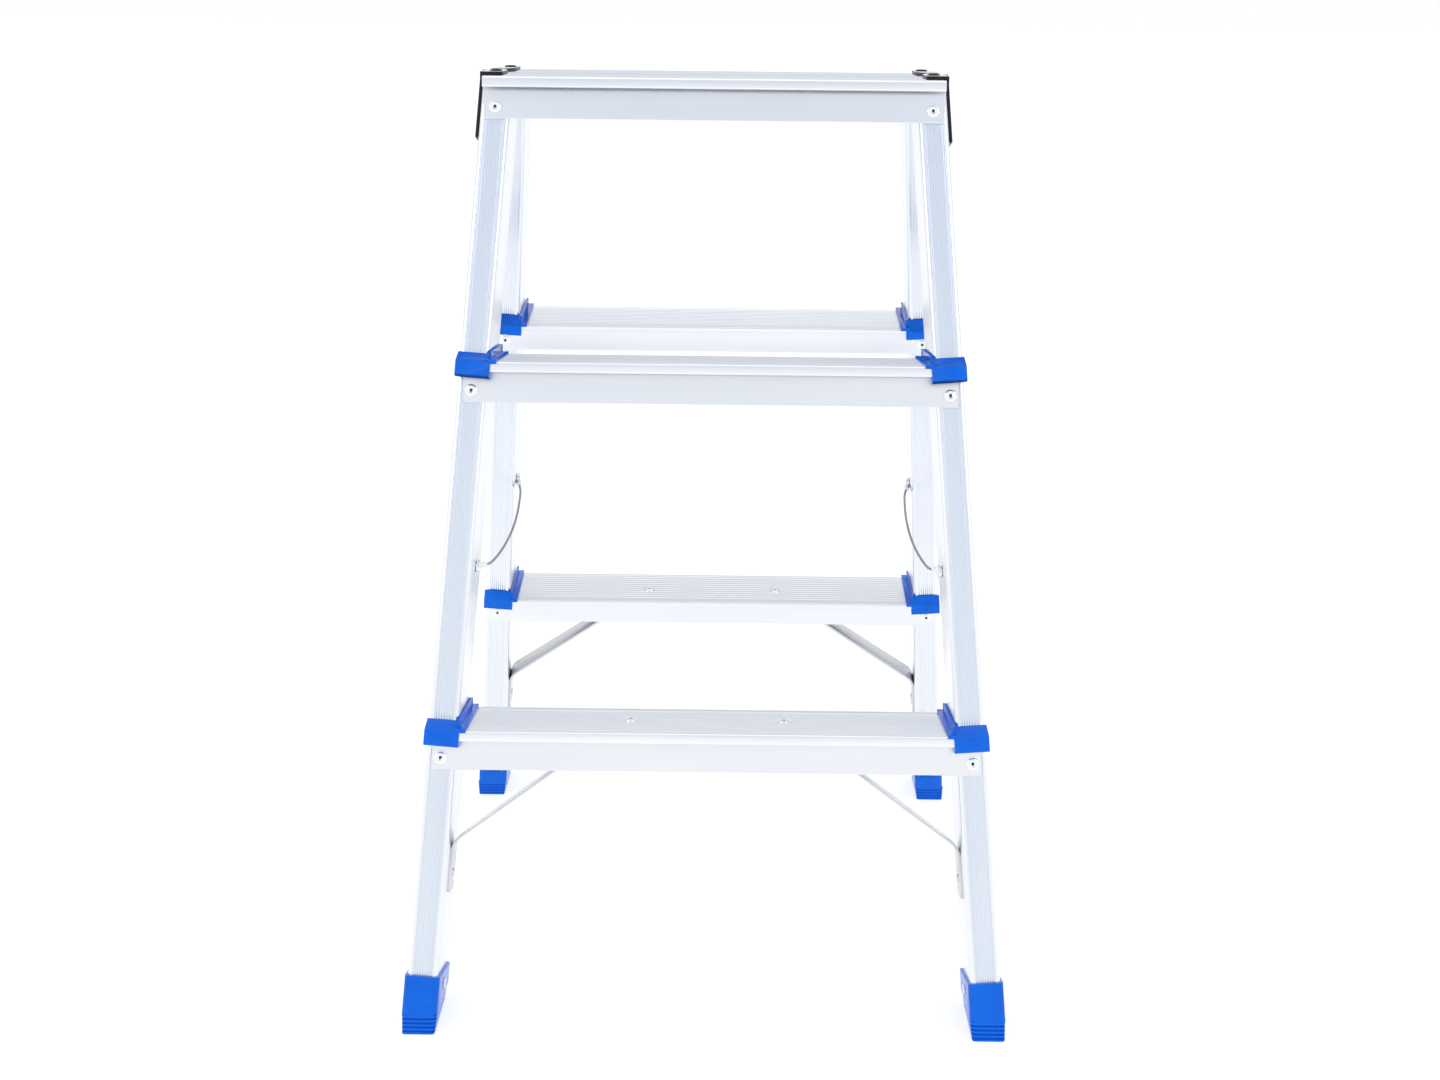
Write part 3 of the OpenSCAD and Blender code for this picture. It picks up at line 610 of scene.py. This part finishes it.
def tread_section(tilt, length):
    """Closed section of a tread in Y and Z: grooved plate, nose lip, inner lip and two hanging aprons."""
    slope = math.tan(LEAN - tilt)
    out_y = NOSE_OUT - STILE_OUT - APRON_T
    in_y = NOSE_OUT - FOLD_GAP
    in_edge = NOSE_OUT - INNER_OUT
    inner_low = in_edge * slope - INNER_APRON_DROP

    def plate(y, below=0.0):
        return (y, y * slope - below)

    under = PLATE_T + 0.05
    chamfer, fillet = 0.4, 0.8
    end_y = length * math.cos(LEAN - tilt)
    points = [(out_y, -APRON_DROP + chamfer), (out_y, out_y * slope - under - fillet)]
    points += [plate(out_y - fillet, under), plate(2.8, under), (2.4, -under - 0.6), (2.4, -LIP_H + 1.0)]
    points += arc((1.3, -LIP_H + 1.1), 1.1, 0, -180, 6)
    points += arc((2.2, -1.9), 2.2, 180, 100, 6)
    points += [plate(4.6), plate(5.0, RIB_H * 0.8), plate(end_y - 4.4, RIB_H * 0.8), plate(end_y - 4.0)]
    tip = Vector(plate(end_y - 1.2, 1.2))
    points += arc(tip, 1.2, 95, 0, 4)
    points += [(end_y, end_y * slope - INNER_LIP_H + 0.8)]
    points += arc((end_y - 1.0, end_y * slope - INNER_LIP_H + 0.9), 1.0, 0, -180, 5)
    points += [plate(end_y - 2.0, under + 0.3), plate(end_y - 2.6, under)]
    if end_y - 2.6 > in_y + APRON_T + 0.6:
        points += [plate(in_y + APRON_T + 0.6, under)]
    points += [(in_y + APRON_T, in_y * slope - under - 0.6), (in_y + APRON_T, inner_low + chamfer),
               (in_y + APRON_T - chamfer, inner_low), (in_y + chamfer, inner_low),
               (in_y, inner_low + chamfer),
               (in_y, in_y * slope - under - fillet), plate(in_y - fillet, under)]
    points += [plate(out_y + APRON_T + fillet, under),
               (out_y + APRON_T, (out_y + APRON_T) * slope - under - fillet),
               (out_y + APRON_T, -APRON_DROP + chamfer), (out_y + APRON_T - chamfer, -APRON_DROP),
               (out_y + chamfer, -APRON_DROP)]
    return points


def stile_cutter(side):
    """Room for a stile through a tread's plate."""
    bm = bmesh.new()
    bmesh.ops.create_cube(bm, size=1)
    fit, past, length = 0.2, 30, 1000
    size = (STILE_W + fit + past, STILE_D, length, 1)
    shape = Matrix.Translation(((past - STILE_W - fit) / 2, -STILE_MID, -300)) @ Matrix.Diagonal(size)
    mesh = mesh_from(bm, "stile_room", stile_axes(side) @ shape)
    return scratch_object("stile_room", mesh)


def cut(mesh, cutters, name):
    obj = scratch_object(name, mesh)
    for cutter in cutters:
        modifier = obj.modifiers.new("notch", "BOOLEAN")
        modifier.operation, modifier.solver, modifier.object = "DIFFERENCE", "EXACT", cutter
    result = evaluated_mesh(obj, name)
    for cutter in cutters:
        bpy.data.objects.remove(cutter)
    return result


def make_tread(end, name, height, tilt, length, width, notched, trees, material):
    """Extruded tread with its grip ribs, notched round the stiles."""
    local_nose = Matrix.Translation((0, -NOSE_OUT, nose_z(height)))
    bm = bmesh.new()
    bm.faces.new([bm.verts.new((0, y, z)) for y, z in tread_section(tilt, length)])
    flat = bpy.data.meshes.new(name + "_section")
    bm.to_mesh(flat)
    bm.free()
    body = run_tree(trees["extrusion"], flat, name + "_body", Width=width, Material=material)
    body.transform(local_nose)
    if notched:
        body = cut(body, [stile_cutter(side) for side in SIDES], name + "_notched")
    count = int((length - 2 * RIB_START) // RIB_PITCH) + 1
    empty = bpy.data.meshes.new(name + "_rib_start")
    clear_width = 2 * (half_width(nose_z(height)) - STILE_W) - 7.0 if notched else width - 25.0
    ribs = run_tree(trees["grip_ribs"], empty, name + "_ribs", Count=count, Pitch=RIB_PITCH,
                    Length=clear_width, Rib_Width=RIB_W, Rib_Height=RIB_H, Material=material)
    ribs.transform(tread_axes(height, tilt) @ Matrix.Translation((0, RIB_START, -RIB_H)))
    bm = bmesh.new()
    bm.from_mesh(body)
    bm.from_mesh(ribs)
    bm.transform(ladder_frame(end))
    bmesh.ops.recalc_face_normals(bm, faces=bm.faces[:])
    mesh = bpy.data.meshes.new(name + "_shape")
    bm.to_mesh(mesh)
    bm.free()
    smooth_by_angle(mesh, 32)
    mesh.materials.append(material)
    return finish_piece(name + "_extrusion", mesh, material, end, [name])


def make_steps(end, trees, material):
    level_length = NOSE_OUT * math.cos(LEAN) - nose_z(HEIGHT) * math.sin(LEAN) - STEP_GAP
    tilted_length = (NOSE_OUT - INNER_OUT) / math.cos(LEAN - TREAD_TILT)
    make_tread(end, f"{end}_top_step", HEIGHT, 0.0, level_length, TOP_WIDTH, False, trees, material)
    for label, height, inset in (("middle", MIDDLE_STEP, MIDDLE_INSET),
                                 ("bottom", BOTTOM_STEP, BOTTOM_INSET)):
        width = 2 * (half_width(nose_z(height)) - inset)
        name = f"{end}_{label}_tread"
        make_tread(end, name, height, TREAD_TILT, tilted_length, width, True, trees, material)


# ---------------------------------------------------------------- diagonal stays


def make_stay(end, side, material):
    """Flat strip with rounded bends, turned a little at the top to lie flush under the tread."""
    bend_reach, bend_steps = 7, 8
    top_z = surface_z(BOTTOM_STEP, TREAD_TILT, STILE_MID) - PLATE_T - STAY_T / 2
    bend_z = top_z - STAY_DROP
    low = stile_axes("right", bend_z)
    low_x = (low @ Vector((-STILE_W - STAY_T / 2, 0, 0))).x
    down = low.to_3x3() @ Vector((0, 0, -1))
    corners = [Vector((STAY_RIVET_X - 11, 0, top_z)), Vector((STAY_RIVET_X + 9, 0, top_z)),
               Vector((low_x, 0, bend_z)), Vector((low_x, 0, bend_z)) + down * STAY_END]
    line = [corners[0]]
    for before, corner, after in zip(corners, corners[1:], corners[2:]):
        start = corner + (before - corner).normalized() * bend_reach
        stop = corner + (after - corner).normalized() * bend_reach
        for i in range(bend_steps + 1):
            t = i / bend_steps
            line.append(start.lerp(corner, t).lerp(corner.lerp(stop, t), t))
    line.append(corners[3])
    tilt = LEAN - TREAD_TILT
    bm = bmesh.new()
    rings = []
    for i, point in enumerate(line):
        ahead = (line[min(i + 1, len(line) - 1)] - line[max(i - 1, 0)]).normalized()
        turn = tilt * max(0.0, min(1.0, (STAY_RIVET_X + 24 - point.x) / 16))
        across = Vector((0, math.cos(turn), math.sin(turn)))
        normal = ahead.cross(across).normalized()
        ring = []
        for a, n in ((-1, -1), (1, -1), (1, 1), (-1, 1)):
            corner = point + across * (a * STAY_W / 2) + normal * (n * STAY_T / 2)
            ring.append(bm.verts.new(corner + Vector((0, -STILE_MID, 0))))
        rings.append(ring)
    for one, two in zip(rings, rings[1:]):
        for k in range(4):
            bm.faces.new((one[k], one[(k + 1) % 4], two[(k + 1) % 4], two[k]))
    bm.faces.new(rings[0])
    bm.faces.new(rings[-1])
    name = f"{end}_{side}_stay"
    mesh = mesh_from(bm, name + "_strip", ladder_frame(end) @ Matrix.Diagonal((SIDES[side], 1, 1, 1)))
    mesh = rounded_edges(mesh, name + "_shape", 0.35, 2, 50)
    return finish_piece(name + "_strip", mesh, material, end, [name])


# ---------------------------------------------------------------- rivets


def stile_mid_x(z):
    return half_width(z) - STILE_W / 2 / math.cos(SPLAY)


def tread_rivet_places():
    """Places and directions of one frame's apron rivets, in its local frame."""
    steps = [(HEIGHT, 0.0), (MIDDLE_STEP, TREAD_TILT), (BOTTOM_STEP, TREAD_TILT)]
    places = []
    for height, tilt in steps:
        outer = nose_z(height) - RIVET_DROP
        inner = surface_z(height, tilt, INNER_OUT) - INNER_RIVET_DROP
        for side in SIDES.values():
            for z, y, facing in ((outer, -STILE_OUT - APRON_T, -1), (inner, -FOLD_GAP + APRON_T, 1)):
                places.append((Vector((side * stile_mid_x(z), y, z)), Vector((0, facing, 0))))
    return places


def stay_rivet_places():
    top = tread_axes(BOTTOM_STEP, TREAD_TILT)
    along = (NOSE_OUT - STILE_MID) / math.cos(LEAN - TREAD_TILT)
    stay_z = surface_z(BOTTOM_STEP, TREAD_TILT, STILE_MID) - PLATE_T - STAY_DROP - STAY_END + 12
    places = []
    for side, sign in SIDES.items():
        places.append((top @ Vector((sign * STAY_RIVET_X, along, -RIB_H)), top.to_3x3() @ Vector((0, 0, 1))))
        end = stile_axes(side, stay_z)
        places.append((end @ Vector((-STILE_W - STAY_T, -STILE_MID, 0)), end.to_3x3() @ Vector((-1, 0, 0))))
    return places


def side_rivet_places(height, lift):
    """One rivet on each stile's inner side at a height above the floor."""
    z = (height - PIVOT_Z - STILE_MID * math.sin(LEAN)) / math.cos(LEAN)
    places = []
    for side in SIDES:
        axes = stile_axes(side, z)
        places.append((axes @ Vector((-STILE_W - lift, -STILE_MID, 0)), axes.to_3x3() @ Vector((-1, 0, 0))))
    return places


def hinge_rivet_places():
    places = []
    for side in SIDES:
        axes = stile_axes(side)
        for drop in STRAP_RIVETS:
            spot = axes @ Vector((LEAF_T, -STILE_MID, -STRAP_TOP - drop))
            places.append((spot, axes.to_3x3() @ Vector((1, 0, 0))))
    lift = Matrix.Rotation(LEAN, 4, "X")
    in_x, top_z = TOP_WIDTH / 2 - FLANGE_RIVET_IN, HEIGHT - PIVOT_Z + LEAF_T
    for sign in SIDES.values():
        spot = lift @ Vector((sign * in_x, -FLANGE_RIVET_OUT, top_z))
        places.append((spot, lift.to_3x3() @ Vector((0, 0, 1))))
    return places


def make_rivets(end, node, places, head, tree, metal, hole):
    """One group of rivets as one piece, set by the rivet tree."""
    placed = ladder_frame(end)
    mesh = bpy.data.meshes.new(node + "_points")
    mesh.from_pydata([placed @ spot for spot, _ in places], [], [])
    facing = mesh.attributes.new("facing", "FLOAT_VECTOR", "POINT")
    for item, (_, direction) in zip(facing.data, places):
        item.vector = (placed.to_3x3() @ direction).normalized()
    mesh = run_tree(tree, mesh, node + "_shape", Head=head * 0.001, Hole=RIVET_HOLE * 0.001,
                    Dome=RIVET_DOME, Flange=RIVET_FLANGE * 0.001, Material=metal, Hole_Material=hole)
    smooth_by_angle(mesh, 35)
    return finish_piece(node + "_heads", mesh, metal, end, [node])


# ---------------------------------------------------------------- wire ropes


def smooth_route(points, steps):
    """Points on a smooth curve through the route."""
    points = [Vector(p) for p in points]
    result = []
    for i in range(len(points) - 1):
        a, b = points[max(i - 1, 0)], points[i]
        c, d = points[i + 1], points[min(i + 2, len(points) - 1)]
        for k in range(steps):
            t = k / steps
            result.append(0.5 * (2 * b + (c - a) * t + (2 * a - 5 * b + 4 * c - d) * t * t
                                 + (3 * b - a - 3 * c + d) * t ** 3))
    return result + [points[-1]]


def make_rope(side, tree, material):
    """Laid wire rope that sags between its two sleeves."""
    sign = SIDES[side]
    path = [Vector((sign * p.x, p.y, p.z)) * 0.001 for p in smooth_route(WIRE_ROUTE, 6)]
    line = bpy.data.meshes.new(side + "_rope_path")
    line.from_pydata(path, [(i, i + 1) for i in range(len(path) - 1)], [])
    mesh = run_tree(tree, line, side + "_rope_shape", Strands=6, Strand_Radius=STRAND_R * 0.001,
                    Lay_Radius=LAY_R * 0.001, Lay_Length=LAY_LENGTH * 0.001, Material=material)
    mesh.shade_smooth()
    rope = scratch_object(side + "_rope", mesh)
    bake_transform(rope)
    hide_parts(side + "_wire_rope")


# ---------------------------------------------------------------- the ladder

make_camera()
trees = {"extrusion": extrusion_tree(), "grip_ribs": grip_rib_tree(), "rivets": rivet_tree(),
         "rope": rope_tree()}
rope_metal = flecked_metal("rope_steel", 1500, 4, (0.25, 0.26, 0.28), (0.50, 0.51, 0.53), (0.3, 0.5))
for side in SIDES:
    make_rope(side, trees["rope"], rope_metal)
make_studio()

stile_metal = drawn_aluminium("stile_aluminium", 2, (0.80, 0.83, 0.88), (0.88, 0.90, 0.93), 0.26)
# Darker, bluer copy of the stile aluminium for the recessed channel: painted shade.
channel_shade_metal = drawn_aluminium("channel_aluminium", 2, (0.70, 0.75, 0.83), (0.76, 0.81, 0.88), 0.32)
tread_metal = drawn_aluminium("tread_aluminium", 0, (0.82, 0.84, 0.88), (0.89, 0.90, 0.93), 0.30)
# The stays' aluminium is darker than the treads': painted shade under the bottom tread.
strip_shade_metal = drawn_aluminium("strip_aluminium", 0, (0.62, 0.63, 0.65), (0.68, 0.69, 0.71), 0.26)
plastic = moulded_plastic()
# Bright copy of the hinge steel for faces pointing up: painted highlight.
plated_painted_highlight = flecked_metal("bright_plated_steel", 500, 4, (0.78, 0.78, 0.80), (0.90, 0.90, 0.91), (0.15, 0.3),
                       strength=0.06)
# Near-black copy of the hinge steel, also used for the hinge rivets and pins: painted shade.
hinge_shade_steel = flecked_metal("dark_coated_steel", 600, 5, (0.012, 0.012, 0.014), (0.06, 0.06, 0.065),
                            (0.25, 0.5), metallic=0.6, strength=0.1, spread=(0.55, 0.75), grit=0.75)
rivet_metal = flecked_metal("rivet_aluminium", 700, 4, (0.84, 0.85, 0.87), (0.93, 0.94, 0.95), (0.2, 0.36),
                            strength=0.08)
# Near-black material for the rivets' holes: painted shade.
rivet_hole_shade = flecked_metal("rivet_hole_steel", 900, 3, (0.03, 0.03, 0.035), (0.09, 0.09, 0.1), (0.45, 0.65),
                           metallic=0.8)

for end in ENDS:
    for side in SIDES:
        make_stile(end, side, stile_metal, channel_shade_metal)
        make_stay(end, side, strip_shade_metal)
        dressed(f"{end}_{side}_foot", end, plastic, 0.5)
        leaf = dressed(f"{end}_{side}_hinge_leaf", end, hinge_shade_steel, 0.3, 2)
        leaf.data.materials.append(plated_painted_highlight)
        # Faces pointing up take the bright copy (painted highlight); the other faces keep the near-black copy
        # (painted shade).
        for face in leaf.data.polygons:
            face.material_index = int(face.normal.z > 0.9)
        for level in ("middle", "bottom"):
            dressed(f"{end}_{level}_{side}_cap", end, plastic, 0.5)
    make_steps(end, trees, tread_metal)
    for node, places, head, slot in (
            ("tread_rivets", tread_rivet_places(), RIVET_HEAD, "rivet_metal"),
            ("stay_rivets", stay_rivet_places(), RIVET_HEAD, "rivet_metal"),
            ("foot_rivets", side_rivet_places(FOOT_RIVET_Z, FOOT_WALL), RIVET_HEAD * 0.8, "rivet_metal"),
            ("wire_rivets", side_rivet_places(WIRE_HEIGHT, WIRE_D), RIVET_HEAD, "rivet_metal")):
        make_rivets(end, f"{end}_{node}", places, head, trees["rivets"], rivet_metal,
                    rivet_hole_shade)
    # Hinge rivets in the near-black hinge steel: painted shade.
    make_rivets(end, f"{end}_hinge_rivets", hinge_rivet_places(), RIVET_HEAD * 0.9,
                trees["rivets"], hinge_shade_steel, rivet_hole_shade)
    dressed(f"{end}_wire_ferrules", end, rivet_metal, 0.25, 2)
for side in SIDES:
    # Hinge pins in the near-black hinge steel: painted shade.
    dressed(f"{side}_hinge_pin", "front", hinge_shade_steel, 0.25, 2)
